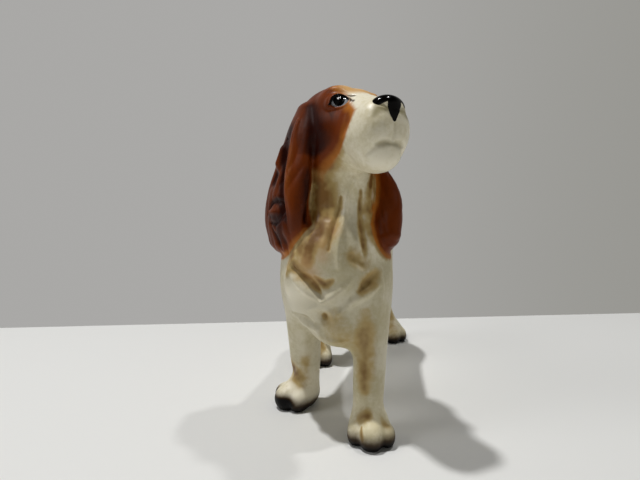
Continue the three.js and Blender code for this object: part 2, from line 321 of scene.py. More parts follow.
# A stroke is its half width, its strength and the points that it runs through. Some strokes are airbrushed
# colour, and some are painted shade and painted highlight, as said at each table.
# Ochre airbrushed on the slip, and painted shade: the strokes in the grooves of the neck and the chest,
# under the jaw where the ear meets it, and down the far hind leg and its foot, which the body shades.
OCHRE_AND_SHADE_STROKES = [
    (7.5, 1.1, [
        (-5, -50, 120), (-5, -51, 112), (-4.5, -51.5, 104),
        (-4.5, -53, 96), (-6, -56, 88), (-8, -57, 78),
    ]),
    (7.0, 0.8, [(-10, -54, 92), (-12, -56, 82)]),
    (2.4, 1.0, [(-1.4, -53, 96.5), (-1, -53.5, 95)]),
    (3.2, 1.0, [(-5, -55.5, 90), (-4.2, -56.5, 88)]),
    (1.5, 0.8, [(4.6, -51, 103), (4, -52, 97), (2, -56, 89.5), (0.6, -58.4, 82)]),
    (4.6, 0.75, [(0.5, -52, 104), (1, -54, 93), (-1, -57, 83)]),
    (2.2, 0.95, [(12.3, -46, 105), (13, -47.2, 93.5), (14.2, -50.2, 86.5), (15, -53, 77)]),
    (4.5, 0.7, [(16, -40, 109), (16.4, -44, 96), (18, -48, 85)]),
    (2.6, 1.3, [(15.5, -38, 112), (16, -40, 108)]),
    (2.4, 1.0, [(-15, -54.5, 74), (-10.5, -57, 71), (-6.5, -58, 68.4), (-3.5, -58, 65)]),
    (2.2, 0.9, [(-4.6, -58.5, 70.5), (-1, -58.8, 67.8), (2.6, -58.9, 69.6)]),
    (3.4, 0.95, [(13.6, -55.4, 65), (17.5, -54, 69), (21.5, -50.6, 73)]),
    (3.4, 0.6, [(10.3, -56.4, 79.6), (15, -54.3, 76)]),
    (4.0, 0.8, [(-16, -53, 79), (-17.4, -51.6, 73)]),
    (3.6, 1.0, [(-14, -54.5, 74.5), (-11, -55.7, 72)]),
    (1.6, 0.8, [(-1.3, -56.7, 53.8), (-1.1, -56.7, 53.2)]),
    (6.0, 0.5, [(2, -54, 52), (6, -52, 45)]),
    (5.0, 0.72, [(15, -52, 56), (14.6, -52, 39.5), (15.4, -52.8, 22)]),
    (2.6, 1.1, [(13.5, -58, 12.6), (17, -57.5, 13.6)]),
    (2.2, 0.7, [(24, -54, 16), (25, -56, 10)]),
    (1.1, 0.7, [(15, -60, 9.5), (15.4, -63.5, 5.7), (15.6, -64, 2)]),
    (5.4, 0.85, [(-22.5, -28.8, 18.5), (-18, -32, 16.5)]),
    (3.0, 0.5, [(-14, -30, 44), (-15, -32, 26), (-14.6, -33, 14)]),
    (7.0, 1.2, [(-16, 30, 48), (-19, 30, 34), (-20, 30, 20)]),
    (5.0, 1.0, [(-21, 27, 16), (-22, 25, 8)]),
    (5.0, 0.7, [(14, 76, 28), (17, 80, 16)]),
    (5.0, 0.5, [(18, 77, 13), (19, 73, 7)]),
]
BLUSH_STROKES = [
    (4.0, 0.6, [(-9, -57.4, 76), (-6, -58, 72)]),
    (3.0, 0.5, [(-1, -58, 84), (-1.5, -58.6, 79)]),
    (3.0, 0.4, [(3, -57, 90), (1, -56, 94)]),
]
# Two marks on the muzzle, in the head's own frame: a soft line in the corner of the mouth, and painted
# shade in the hollow beside the nose.
MOUTH_LINE_AND_NOSE_SHADE = [
    (2.0, 0.55, [(-6.4, -38.4, -16), (-3.2, -39.6, -15.2), (0, -39.8, -15)]),
    (2.2, 0.8, [(-3, -41, -3), (-6, -40, -3), (-7.6, -39, -6)]),
]
# Two brush marks on the face of an eye: the tear in its corner and the lashes.
EYE_STROKES = [
    (0.8, 0.72, [(4.6, -0.8), (5.4, -1.1)]),
    (0.45, 0.63, [(3.0, 2.3), (6.6, 2.5)]),
]
# Painted highlights: along these strokes the grey-green is lifted off the slip, so that it is at its
# whitest where the light falls brightest.
PAINTED_HIGHLIGHT_STROKES = [
    (4.0, 1.0, [(-13, -54.2, 81), (-9, -56, 80)]),
    (4.5, 1.0, [(15, -52, 82), (20, -46, 80)]),
    (4.5, 0.8, [(6, -49, 114), (6.5, -50.5, 106), (7, -52, 99)]),
    (4.0, 0.9, [(-12, -54, 64), (-17, -50, 62)]),
]
# How dark the chestnut is along a stroke. The darker ones are deep chestnut on the ears and painted shade
# in their grooves; the negative ones are lighter: painted highlight along a ridge of the right ear, a
# lighter top of the head, and thinner chestnut on the inner edge of the left ear and at the lower end of
# the right ear.
DEPTH_SHADE_AND_HIGHLIGHT_STROKES = [
    (6.0, 0.35, [(-9, -49, 140), (-6, -52, 132), (-5, -52, 124), (-6, -50, 116)]),
    (3.0, 0.5, [(-19, -43, 130), (-20, -45, 118)]),
    (3.5, 0.3, [(-27, -43, 94), (-22, -48, 92), (-22, -47, 84)]),
    (2.6, 0.45, [(-9.3, -51, 116), (-8.4, -52, 104), (-9.3, -52, 92)]),
    (4.2, -0.28, [(-15.6, -48, 124), (-16.4, -50, 112), (-16.6, -51.4, 104), (-15.4, -52.4, 98)]),
    (4.0, -0.35, [(0, -54, 146), (-4, -50, 147)]),
    (2.2, -0.3, [(-20, -47.6, 78), (-27, -42, 79), (-15, -49, 80)]),
    (2.6, -0.2, [(17.6, -32.2, 108), (18, -34, 98), (18.6, -38, 88)]),
    (3.0, 0.5, [(25, -32, 105), (25.6, -32, 96), (25, -32, 86)]),
]
# The cheeks are brown behind this line, given as how high and how far forward it runs.
CHEEK_LINE = [
    (-45, 2), (-32, -4), (-22, -8), (-17, -14.7), (-13.6, -21.6), (-11, -26.3), (-8, -28.9), (-4.2, -31.2),
    (-1.5, -32), (2.2, -27.4), (6.3, -23.6), (13.2, -17), (20, -14),
]
# The blaze between the brown sides of the crown: how far back, and its half width there.
BLAZE = [(-24, 7), (-16, 6), (-8, 5), (0, 4), (8, 1.5), (13, -3)]
# The saddle covers the back down to this line, given as how far back and how high it runs.
SADDLE = [
    (-62, 108), (-50, 104), (-44, 98), (-36, 90), (-28, 78), (-12, 66), (4, 70),
    (18, 80), (30, 84), (42, 74), (56, 68), (70, 76), (84, 90),
]

# ---------------------------------------------------------------- fields
# A field gives every point its distance to a shape, negative inside.


def head_axes():
    """The head's own axes as columns: its left, its back and its top."""
    turn = Matrix.Rotation(HEAD_TURN, 3, "Z")
    lift = Matrix.Rotation(-HEAD_LIFT, 3, "X")
    tilt = Matrix.Rotation(HEAD_TILT, 3, "Y")
    return np.array(turn @ lift @ tilt)


HEAD_AXES = head_axes()


def in_head(points):
    """Points in the head's own frame, where the nose is towards -y."""
    return (points - HEAD_CENTRE) @ HEAD_AXES


def ellipse_distance(local, half):
    """About how far points are from an ellipsoid around the origin."""
    scaled = local / half
    near = np.linalg.norm(scaled, axis=1) + TINY
    return near * (near - 1) / (np.linalg.norm(scaled / half, axis=1) + TINY)


def blob(points, row):
    """The field of one row of a table of blobs."""
    return ellipse_distance(points - np.array(row[:3]), np.array(row[3:], float))


def melt(a, b, width):
    """The union of two fields, with a soft fillet `width` across where they meet."""
    overlap = np.maximum(width - np.abs(a - b), 0) / width
    return np.minimum(a, b) - overlap * overlap * width / 4


def spline(rows, steps=4):
    """A smooth curve through all the rows, every column alike."""
    rows = np.array(rows, float)
    rows = np.vstack([2 * rows[0] - rows[1], rows, 2 * rows[-1] - rows[-2]])
    t = np.arange(steps)[:, None] / steps
    spans = []
    for a, b, c, d in zip(rows, rows[1:], rows[2:], rows[3:]):
        bend = (2 * a - 5 * b + 4 * c - d) * t**2 + (3 * b - a - 3 * c + d) * t**3
        spans.append(b + (c - a) * t / 2 + bend / 2)
    return np.vstack(spans + [rows[-2:-1]])


def nearest_place(points, path):
    """How far each point is from a path of corners, and where on it, from 0 to the number of spans."""
    nearest = np.full(len(points), np.inf)
    place = np.zeros(len(points))
    for number, (start, stop) in enumerate(zip(path, path[1:])):
        span = stop - start
        share = np.clip((points - start) @ span / (span @ span), 0, 1)
        gap = points - start - share[:, None] * span
        gap = np.einsum("ij,ij->i", gap, gap)
        closer = gap < nearest
        nearest[closer] = gap[closer]
        place[closer] = number + share[closer]
    return np.sqrt(nearest), place


class Tube:
    """A bent tube with elliptical rings and a rounded cap on each end."""

    def __init__(self, rows, side=(1, 0, 0), caps=(6, 6)):
        curve = spline(rows)
        self.centres = curve[:, :3]
        self.halves = curve[:, 3:]
        along = np.gradient(self.centres, axis=0)
        along /= np.linalg.norm(along, axis=1)[:, None]
        first = np.array(side, float) - along * (along @ np.array(side, float))[:, None]
        first /= np.linalg.norm(first, axis=1)[:, None]
        self.axes = np.stack([first, np.cross(along, first), along], axis=1)
        self.caps = caps
        self.low = self.centres.min(axis=0) - self.halves.max() - REACH
        self.high = self.centres.max(axis=0) + self.halves.max() + REACH

    def local(self, points):
        """Each point across, over and along the tube, the half axes there, and the share before it."""
        _, place = nearest_place(points, self.centres)
        before = np.minimum(place.astype(int), len(self.centres) - 2)
        share = (place - before)[:, None]
        centres = self.centres[before] * (1 - share) + self.centres[before + 1] * share
        halves = self.halves[before] * (1 - share) + self.halves[before + 1] * share
        axes = self.axes[before] * (1 - share)[:, :, None] + self.axes[before + 1] * share[:, :, None]
        return np.einsum("nij,nj->ni", axes, points - centres), halves, place / (len(self.centres) - 1)

    def __call__(self, points):
        beyond = np.maximum(np.maximum(self.low - points, points - self.high), 0)
        distance = np.linalg.norm(beyond, axis=1) + REACH
        near = ~beyond.any(axis=1)
        if near.any():
            local, halves, share = self.local(points[near])
            depth = np.where(share < 0.5, *self.caps)
            distance[near] = ellipse_distance(local, np.column_stack([halves, depth]))
        return distance


EAR_SIDE = (math.sin(HEAD_TURN), -math.cos(HEAD_TURN), 0)
tubes = {
    "torso": Tube(TORSO, caps=(11.5, 12)),
    "neck": Tube(NECK),
    "skull": Tube(SKULL, caps=(6, 7)),
    "right_ear": Tube(RIGHT_EAR, side=EAR_SIDE, caps=(4, 6)),
    "left_ear": Tube(LEFT_EAR, side=EAR_SIDE, caps=(4, 5.5)),
    "tail": Tube(TAIL, caps=(6, 4)),
    **{name: Tube(leg["rings"]) for name, leg in LEGS.items()},
}


def head(points):
    """The head and the neck, with brows, flews, chin, eyeballs and nose."""
    local = in_head(points)
    face = tubes["skull"](local)
    for row in FACE_BLOBS:
        face = melt(face, blob(local, row), FILLETS["face"])
    for mirror in (-1, 1):
        face = melt(face, blob(local * (mirror, 1, 1), EYE), FILLETS["eye"])
    face = melt(face, blob(local, NOSE), FILLETS["nose"])
    return melt(face, tubes["neck"](points), FILLETS["neck"])


def leg(name):
    """The field of one leg with its paw, which is turned about its foot."""
    turn = math.radians(LEGS[name]["turn"])
    heading = np.array([[math.cos(turn), -math.sin(turn)], [math.sin(turn), math.cos(turn)]])

    def field(points):
        local = np.column_stack([(points[:, :2] - LEGS[name]["foot"]) @ heading, points[:, 2]])
        toes = blob(local, TOES[0])
        for row in TOES[1:]:
            toes = melt(toes, blob(local, row), FILLETS["toe"])
        paw = melt(toes, blob(local, FOOT_PAD), FILLETS["pad"])
        return melt(paw, tubes[name](points), FILLETS["paw"])

    return field


def torso(points):
    """The trunk and the fringe of the chest."""
    return melt(tubes["torso"](points), blob(points, BRISKET), FILLETS["brisket"])


FIELDS = {
    "torso": torso,
    "head": head,
    "right_ear": tubes["right_ear"],
    "left_ear": tubes["left_ear"],
    **{name: leg(name) for name in LEGS},
    "tail": tubes["tail"],
}


def dog(points):
    """The whole dog's field."""
    whole = FIELDS["torso"](points)
    for name in (*LEGS, "head", "tail", "right_ear", "left_ear"):
        whole = melt(whole, FIELDS[name](points), FILLETS[name.split("_")[-1]])
    return whole


# ---------------------------------------------------------------- the skin


def refine(values, axis, times):
    """Values in between along one axis, by straight interpolation."""
    values = np.moveaxis(values, axis, 0)
    share = (np.arange(times) / times).reshape(1, -1, *[1] * (values.ndim - 1))
    fine = values[:-1, None] * (1 - share) + values[1:, None] * share
    fine = fine.reshape(-1, *values.shape[1:])
    return np.moveaxis(np.concatenate([fine, values[-1:]]), 0, axis)


def grid_points(axes, index):
    """The places of grid nodes, given by their numbers along the axes."""
    return np.column_stack([axis[i] for axis, i in zip(axes, index)])


def sample(field, low, high, step):
    """The field on a fine grid, exact only near the surface."""
    coarse_step = step * COARSE
    counts = [int(math.ceil((h - l) / coarse_step)) + 1 for l, h in zip(low, high)]
    coarse_axes = [l + coarse_step * np.arange(n) for l, n in zip(low, counts)]
    everywhere = np.indices(counts).reshape(3, -1)
    values = field(grid_points(coarse_axes, everywhere)).reshape(counts)
    for axis in range(3):
        values = refine(values, axis, COARSE)
    axes = [l + step * np.arange(n) for l, n in zip(low, values.shape)]
    near = np.nonzero(np.abs(values) < coarse_step * 1.1)  # a little more than a step, to be safe
    values[near] = field(grid_points(axes, near))
    return axes, values


def skin(field, low, high, step):
    """Vertices and quads of the field's surface, one vertex to each grid cell that it crosses."""
    axes, values = sample(field, low, high, step)
    inside = values < 0
    cells = np.zeros(np.array(values.shape) - 1, bool)
    corners = [(i, j, k) for i in (0, 1) for j in (0, 1) for k in (0, 1)]
    total = np.zeros(cells.shape, np.int8)
    for i, j, k in corners:
        nx, ny, nz = cells.shape
        total += inside[i:i + nx, j:j + ny, k:k + nz]
    index = np.nonzero((total > 0) & (total < 8))
    number = np.full(cells.shape, -1)
    number[index] = np.arange(len(index[0]))
    vertices = grid_points(axes, index) + step / 2

    quads = []
    for axis in range(3):
        u, v = (axis + 1) % 3, (axis + 2) % 3
        first = np.moveaxis(inside, (axis, u, v), (0, 1, 2))
        ids = np.moveaxis(number, (axis, u, v), (0, 1, 2))
        leaving = first[:-1] & ~first[1:]
        entering = ~first[:-1] & first[1:]
        for crossing, flip in ((leaving, False), (entering, True)):
            a, b, c = np.nonzero(crossing[:, 1:-1, 1:-1])
            ring = [ids[a, b, c], ids[a, b + 1, c], ids[a, b + 1, c + 1], ids[a, b, c + 1]]
            quads.append(np.stack(ring[::-1] if flip else ring, axis=1))
    return vertices, np.vstack(quads)


LEAST_SLOPE = 0.05  # a flatter field would throw a vertex too far
TETRAHEDRON = np.array([(1, 1, 1), (1, -1, -1), (-1, 1, -1), (-1, -1, 1)])


def slope(field, points, reach=0.15):
    """The field and its slope at the points."""
    values = [field(points + corner * reach) for corner in TETRAHEDRON]
    steepness = sum(v[:, None] * corner for v, corner in zip(values, TETRAHEDRON)) / (4 * reach)
    return sum(values) / 4, steepness


def settle(field, vertices, times):
    """Moves the vertices onto the surface of the field, and gives the outward direction there."""
    for _ in range(times):
        value, steepness = slope(field, vertices)
        length = np.einsum("ij,ij->i", steepness, steepness)
        vertices = vertices - steepness * (value / np.maximum(length, LEAST_SLOPE))[:, None]
    _, steepness = slope(field, vertices)
    return vertices, steepness / np.linalg.norm(steepness, axis=1)[:, None]


# ---------------------------------------------------------------- sculpting


def soft(value, start, stop):
    """0 before `start`, 1 after `stop`, and a smooth ramp between."""
    share = np.clip((value - start) / (stop - start), 0, 1)
    return share * share * (3 - 2 * share)


def along_path(points, path):
    """How far each point is from a smooth path, and the share of the path that is before it."""
    path = spline(path) if len(path) > 2 else np.array(path, float)
    gap, place = nearest_place(points, path)
    return gap, place / (len(path) - 1)


def apart(points, path):
    """How far each point is from a smooth path."""
    return along_path(points, path)[0]


def bell(points, path, width, fade=0.0):
    """1 on a path, falling smoothly to 0 beside it.

    A path of more than two points gets narrower towards its ends, and lower by the share `fade`.
    """
    corners = np.array(path, float)
    near = (points > corners.min(axis=0) - 3 * width).all(axis=1)
    near &= (points < corners.max(axis=0) + 3 * width).all(axis=1)
    result = np.zeros(len(points))
    distance, before = along_path(points[near], path)
    swell = np.sin(math.pi * before) if len(path) > 2 else 1
    result[near] = (1 - fade + fade * swell) * np.exp(-((distance / width / (0.5 + 0.5 * swell)) ** 2))
    return result


def total(points, strokes, fade=0.0):
    """The heights of all the folds, or the strengths of all the strokes, added up at each point."""
    return sum(strength * bell(points, path, width, fade) for width, strength, path in strokes)


def strongest(points, strokes):
    """How strongly the strongest of the strokes covers each point."""
    return np.max([strength * bell(points, path, width) for width, strength, path in strokes], axis=0)


def right_profile(points):
    """Points in the head's own frame, with its left side folded onto its right side."""
    profile = in_head(points)
    profile[:, 0] = -np.abs(profile[:, 0])
    return profile


def eye_place(profile):
    """Where points are on the face of an eye: towards the nose, up, and how far from its middle."""
    gap = profile - EYE_PLACE
    return np.column_stack([gap @ EYE_ACROSS, gap[:, 2]]), np.linalg.norm(gap, axis=1)


def locks(kind, across, along):
    """Rounded strands of fur with sharp valleys between them."""
    rise, width, sway = FUR[kind]
    phase = across / width + sway * np.sin(along / 7.5) + 0.5 * sway * np.sin(along / 3.3 + 1)
    return rise * (np.abs(np.cos(math.pi * phase)) - 0.6)


def fur(points):
    """The combed strands on the ears, the legs' feathering, the flanks and the tail."""
    x, y, z = points.T
    height = np.zeros(len(points))
    for name in ("right_ear", "left_ear"):
        local, _, _ = tubes[name].local(points)
        worn = soft(-FIELDS[name](points), -1.5, 0) * soft(136 - z, 0, 20)
        height += worn * locks("ear", local[:, 0], z)
    for name in LEGS:
        local, halves, _ = tubes[name].local(points)
        behind = soft(-local[:, 1] / halves[:, 1], 0, 0.8)
        worn = soft(-FIELDS[name](points), -3, 0) * behind * soft(z, 10, 22)
        height += worn * locks("leg", local[:, 0], z)
    flank = soft(-tubes["torso"](points), -2.5, 0) * soft(y, -44, -30)
    skirt = soft(70 - z, 0, 14)
    height += flank * skirt * locks("skirt", y + 0.4 * z, z)
    height += flank * (1 - skirt) * locks("flank", z * 0.8 - y * 0.35 + np.abs(x), y)
    tail = soft(-FIELDS["tail"](points), -2, 0) * soft(y, 60, 68)
    return height + tail * locks("tail", x + 0.4 * z, y)


def relief(points):
    """How far the fur, folds and features stand out of the smooth forms."""
    profile = right_profile(points)
    height = fur(points) + FOLD_DEPTH * total(points, COAT_FOLDS, FOLD_FADE)
    height += total(profile, FACE_FOLDS, FOLD_FADE)
    eye, away = eye_place(profile)
    facing = soft(EYE_WIDE - away, 0, 2)
    for lid, rise in ((UPPER_LID, 0.7), (LOWER_LID, 0.5)):
        height += facing * rise * bell(eye, [(u * 1.12, v * 1.14) for u, v in lid], 0.75)
        height -= facing * 0.35 * bell(eye, [(u * 0.92, v * 0.9) for u, v in lid], 0.5)
    return height


def split(points, quads, wanted):
    """Cuts the wanted quads in four, and tells which new point is in the middle of each cut edge."""
    rows = quads[wanted]
    edges = np.stack([rows, np.roll(rows, -1, axis=1)], axis=2).reshape(-1, 2)
    edges, place = np.unique(np.sort(edges, axis=1), axis=0, return_inverse=True)
    middle = (len(points) + place).reshape(-1, 4)
    centre = len(points) + len(edges) + np.arange(len(rows))
    found = dict(zip(map(tuple, edges.tolist()), range(len(points), len(points) + len(edges))))
    points = np.vstack([points, points[edges].mean(axis=1), points[rows].mean(axis=1)])
    parts = [np.stack([rows[:, i], middle[:, i], centre, middle[:, i - 1]], axis=1) for i in range(4)]
    return points, np.vstack([quads[~wanted], *parts]), found


def with_middles(faces, middles):
    """The faces as rows of corners, with the new points on the edges that their neighbours cut."""
    rows = []
    for face in faces.tolist():
        row = []
        for start, stop in zip(face, face[1:] + face[:1]):
            row.append(start)
            middle = middles.get((min(start, stop), max(start, stop)))
            if middle is not None:
                row.append(middle)
        rows.append(row)
    return rows


def features(points, reach):
    """Which points are on an eye or on the nose."""
    profile = right_profile(points)
    near_eye = np.linalg.norm(profile - EYE_PLACE, axis=1) < reach
    return near_eye | (np.linalg.norm(profile - NOSE_PLACE, axis=1) < reach * NOSE_REACH)


# ---------------------------------------------------------------- pieces


def castings_of(vertices, quads):
    """For each quad, the number of the casting that it belongs to."""
    nearness = np.stack([field(vertices) for field in FIELDS.values()], axis=1)
    return nearness[quads].mean(axis=1).argmin(axis=1)


def islands(faces):
    """A number for each face, the same for all faces that hang together."""
    group = np.arange(faces.max() + 1)
    while True:
        least = group[faces].min(axis=1)
        before = group.copy()
        for corner in range(faces.shape[1]):
            np.minimum.at(group, faces[:, corner], least)
        group = group[group]
        if (group == before).all():
            return group[faces[:, 0]]


def without_islands(quads, owner):
    """Gives each stray patch to the casting around it."""
    for number in range(len(FIELDS)):
        mine = np.nonzero(owner == number)[0]
        groups = islands(quads[mine])
        names, sizes = np.unique(groups, return_counts=True)
        for name in names[sizes < sizes.max()]:
            patch = mine[groups == name]
            around = np.isin(quads, quads[patch]).any(axis=1) & (owner != number)
            owner[patch] = np.bincount(owner[around]).argmax()
    return owner


def rims(faces):
    """The open rims of a patch of faces, each as a closed row of vertices."""
    pairs = Counter(edge for face in faces for edge in zip(face, face[1:] + face[:1]))
    after = {}
    for (start, stop), times in pairs.items():
        for _ in range(times - pairs.get((stop, start), 0)):
            after.setdefault(start, []).append(stop)
    loops = []
    while after:
        loop = [next(iter(after))]
        while True:
            exits = after[loop[-1]]
            step = exits.pop()
            if not exits:
                del after[loop[-1]]
            if step == loop[0]:
                break
            loop.append(step)
        loops.append(loop)
    return loops


def add_object(name, data):
    """A new object of the scene."""
    thing = bpy.data.objects.new(name, data)
    bpy.context.scene.collection.objects.link(thing)
    return thing


SLOTS = {part["node"]: part["material_slot"] for part in frame["record"]["subparts"]}
CAP_DEPTH = 1.4  # a luting face starts with a lip that goes straight in this far


def make_piece(name, vertices, normals, faces, paint):
    """One casting: its part of the skin, closed at the luting joints."""
    used = np.unique(np.concatenate(faces))
    place = np.full(len(vertices), -1)
    place[used] = np.arange(len(used))
    corners = [place[face].tolist() for face in faces]
    points = list(vertices[used])
    directions = list(normals[used])
    colours = {key: list(values[used]) for key, values in paint.items()}
    for loop in rims(faces):
        count = len(loop)
        inner = len(points) + np.arange(count)
        centre = len(points) + count
        lip = vertices[loop] - normals[loop] * CAP_DEPTH
        points += [*lip, lip.mean(axis=0)]
        directions += [*normals[loop], -normals[loop].mean(axis=0)]
        for key in colours:
            colours[key] += [*paint[key][loop], paint[key][loop].mean()]
        rim = place[loop]
        for i in range(count):
            after = (i + 1) % count
            corners.append([int(rim[after]), int(rim[i]), int(inner[i]), int(inner[after])])
            corners.append([int(inner[after]), int(inner[i]), centre])

    mesh = bpy.data.meshes.new(name)
    mesh.from_pydata(np.array(points) * MM + PLUMB, [], corners)
    mesh.shade_smooth()
    mesh.normals_split_custom_set_from_vertices(np.array(directions))
    for key, values in colours.items():
        layer = mesh.attributes.new(key, "FLOAT", "POINT")
        layer.data.foreach_set("value", np.array(values, np.float32))
    slot = SLOTS[name]
    mesh.materials.append(glazes[slot])
    piece = add_object(f"{name}_casting", mesh)
    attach(piece, "root")
    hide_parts(name)


def vertex_normals(vertices, faces):
    """The smooth normals of the whole skin, so that the shading runs on from piece to piece."""
    mesh = bpy.data.meshes.new("whole")
    mesh.from_pydata(vertices, [], faces)
    normals = np.empty(len(vertices) * 3, np.float32)
    mesh.vertex_normals.foreach_get("vector", normals)
    bpy.data.meshes.remove(mesh)
    return normals.reshape(-1, 3)


# ---------------------------------------------------------------- glaze


def nose_black(profile):
    """How far each point is inside the nose's black, with the drip that runs down the lip."""
    x, y, z = profile.T
    wing = 2.3 - apart(profile, [(0, -39.4, 1.0), (-3.0, -39.3, 0.8), (-4.9, -38.4, 0.1)])
    crest = 2.4 - apart(profile, [(0, -38, 2.4), (-2.8, -37.6, 2.0)])
    drip = 3.0 * soft(z, -9.4, -1.2) ** 0.9 - np.abs(x) - soft(-z, 7.2, 7.9) * 3
    drip = np.minimum(drip, -y - 38.5)
    return np.maximum(np.maximum(wing, crest), drip)


def along_line(value, line):
    """The height of a line, given as a row of corners, at each value."""
    line = np.array(line)
    return np.interp(value, line[:, 0], line[:, 1])


def chestnut_of(points, profile):
    """How far each point is inside the chestnut's edge, in mm."""
    x, y, z = points.T
    behind_cheek = profile[:, 1] - along_line(profile[:, 2], CHEEK_LINE)
    beside_blaze = -profile[:, 0] - along_line(profile[:, 1], BLAZE)
    crown = soft(profile[:, 2], 2, 6)
    on_head = np.minimum(behind_cheek, beside_blaze * crown + 20 * (1 - crown))
    neck = soft(118 - z, -9, 5)
    on_neck = np.maximum(y + 30, np.minimum(on_head, (z - 111) * 0.3))
    upper = on_head * (1 - neck) + on_neck * neck
    saddle = (z - along_line(y, spline(SADDLE))) * 0.8
    head_share = soft(z, 96, 104) * soft(-22 - y, -14, 4)
    body = upper * head_share + np.minimum(saddle, np.where(y < -40, np.abs(x) - 15, 99)) * (1 - head_share)
    below = np.minimum(FIELDS["torso"](points), FIELDS["head"](points))
    ears = np.minimum(FIELDS["right_ear"](points), FIELDS["left_ear"](points))
    tail = np.minimum(y - 58, z - 76)
    return np.maximum(np.maximum(body, (below - ears) * 2.4), tail)


def chestnut_depth_and_shade_of(points, profile, brown, height):
    """How dark the chestnut is: thin at its edge, with painted shade in hollows, painted highlight on
    ridges, and the strokes that darken and lighten it.
    """
    edge_width = 13 - 8.5 * soft(profile[:, 2], 0, 6)
    depth = 0.66 * soft(brown / edge_width, 0.04, 1) + total(points, DEPTH_SHADE_AND_HIGHLIGHT_STROKES)
    # painted shade in the hollows, painted highlight on the ridges
    return depth + 0.3 * soft(-height, 0.1, 1.0) - 0.12 * soft(height, 0.2, 1.0)


def ochre_and_shade_of(points, profile, brown, hollow):
    """Ochre and painted shade: ochre along its strokes, some of which are painted shade, painted shade in
    the hollows, and ochre in a fringe below the chestnut of the head and the neck.
    """
    fringe = soft(brown, -7, 0.5) * (1 - soft(profile[:, 2], -18, -10)) * soft(points[:, 2], 72, 80)
    # painted shade: ochre in the hollows of the folds
    ochre_and_shade = 0.45 * soft(hollow, 0.3, 1.8) + 0.8 * fringe
    return np.maximum(ochre_and_shade, strongest(points, OCHRE_AND_SHADE_STROKES))


def smoke_and_shade_of(points, profile, hollow):
    """Grey-green on the slip: painted shade in the hollows and beside the nose, a soft line in the corner
    of the mouth, and a tone over the body and the legs below the head.
    """
    z = points[:, 2]
    smoke_and_shade = strongest(profile, MOUTH_LINE_AND_NOSE_SHADE)
    smoke_and_shade = np.maximum(smoke_and_shade, 0.4 * soft(112 - z, 0, 20) * soft(z, 10, 24))
    # painted shade: grey-green in the hollows of the folds
    smoke_and_shade = np.maximum(smoke_and_shade, 0.6 * soft(hollow, 0.1, 1.6) * soft(116 - z, 0, 6))
    # painted highlights: along these strokes the grey-green is lifted off the slip
    for width, strength, path in PAINTED_HIGHLIGHT_STROKES:
        smoke_and_shade *= 1 - strength * bell(points, path, width)
    return smoke_and_shade


def soot_of(points):
    """Soot on the paws, darkest on the toes, the outer side of the front right paw and the hind paws."""
    _, y, z = points.T
    toes = np.zeros(len(points))
    for limb in LEGS.values():
        turn = math.radians(limb["turn"])
        ahead = (points[:, :2] - limb["foot"]) @ np.array([math.sin(turn), -math.cos(turn)])
        toes = np.maximum(toes, soft(ahead, -6, 5))
    soot = soft(11 - z, 0, 11) * (0.55 + 0.45 * toes)
    outer_side = bell(points, [(-29, -26, 3), (-25, -35, 3)], 8)
    soot = np.maximum(soot, 1.4 * outer_side * soft(12 - z, 0, 8))
    return np.maximum(soot, 1.1 * soft(y, 20, 26) * soft(9 - z, 0, 9))


def eye_masks(eye, facing):
    """How far each point is inside the eyeball, the black of the pupil and the lid, and the glint."""
    upper = apart(eye, UPPER_LID)
    lower = apart(eye, LOWER_LID)
    under = along_line(eye[:, 0], spline(UPPER_LID)) - eye[:, 1]
    above = eye[:, 1] - along_line(eye[:, 0], spline(LOWER_LID))
    ball = np.sign(np.minimum(under, above)) * np.minimum(upper, lower)
    pupil = PUPIL[2] - np.hypot(eye[:, 0] - PUPIL[0], eye[:, 1] - PUPIL[1])
    shine = 1 - ((eye[:, 0] - GLINT[0]) ** 2 + (eye[:, 1] - GLINT[1]) ** 2) / GLINT[2] ** 2
    masks = (ball, np.maximum(pupil, LASH_LINE - upper), shine)
    return [np.where(facing > 0, mask, BEYOND) for mask in masks]


def paint_of(points, height):
    """What was sprayed and brushed on each point, with the painted shade and highlights, for the attributes
    that the glaze reads.
    """
    profile = right_profile(points)
    eye, away = eye_place(profile)
    facing = soft(EYE_WIDE - away, 0, 2)
    # the hollows of the folds get painted shade
    hollow = np.maximum(-height, 0)
    brown = chestnut_of(points, profile)
    ball, black, glint = eye_masks(eye, facing)
    return {
        "chestnut": brown,
        # how dark the chestnut is, with painted shade and painted highlights
        "depth": chestnut_depth_and_shade_of(points, profile, brown, height),
        # ochre, with painted shade in the hollows and along some strokes
        "ochre_and_shade": ochre_and_shade_of(points, profile, brown, hollow),
        "blush": strongest(points, BLUSH_STROKES),
        "peach": soft(profile[:, 2], 7, 11) * soft(profile[:, 1], -31, -22),
        # the slip's grey-green tone, with painted shade and painted highlights
        "smoke_and_shade": smoke_and_shade_of(points, profile, hollow),
        "soot": np.maximum(soot_of(points), strongest(eye, EYE_STROKES) * facing),
        "eyeball": ball,
        "ink": np.maximum(black, nose_black(profile)),
        "glint": glint,
    }


def colour(red, green, blue):
    """A colour for a shader, from how a screen shows it."""
    return tuple((share / 255) ** 2.2 for share in (red, green, blue)) + (1,)


CREAM = colour(240, 232, 208)
SHADED_CREAM = colour(214, 203, 166)
# the honey and ochre colours serve both the airbrushed ochre and the painted shade in hollows
HONEY = colour(180, 154, 98)
OCHRE_AND_SHADE = colour(120, 84, 36)
BLUSH = colour(190, 146, 96)
PEACH = colour(212, 164, 100)
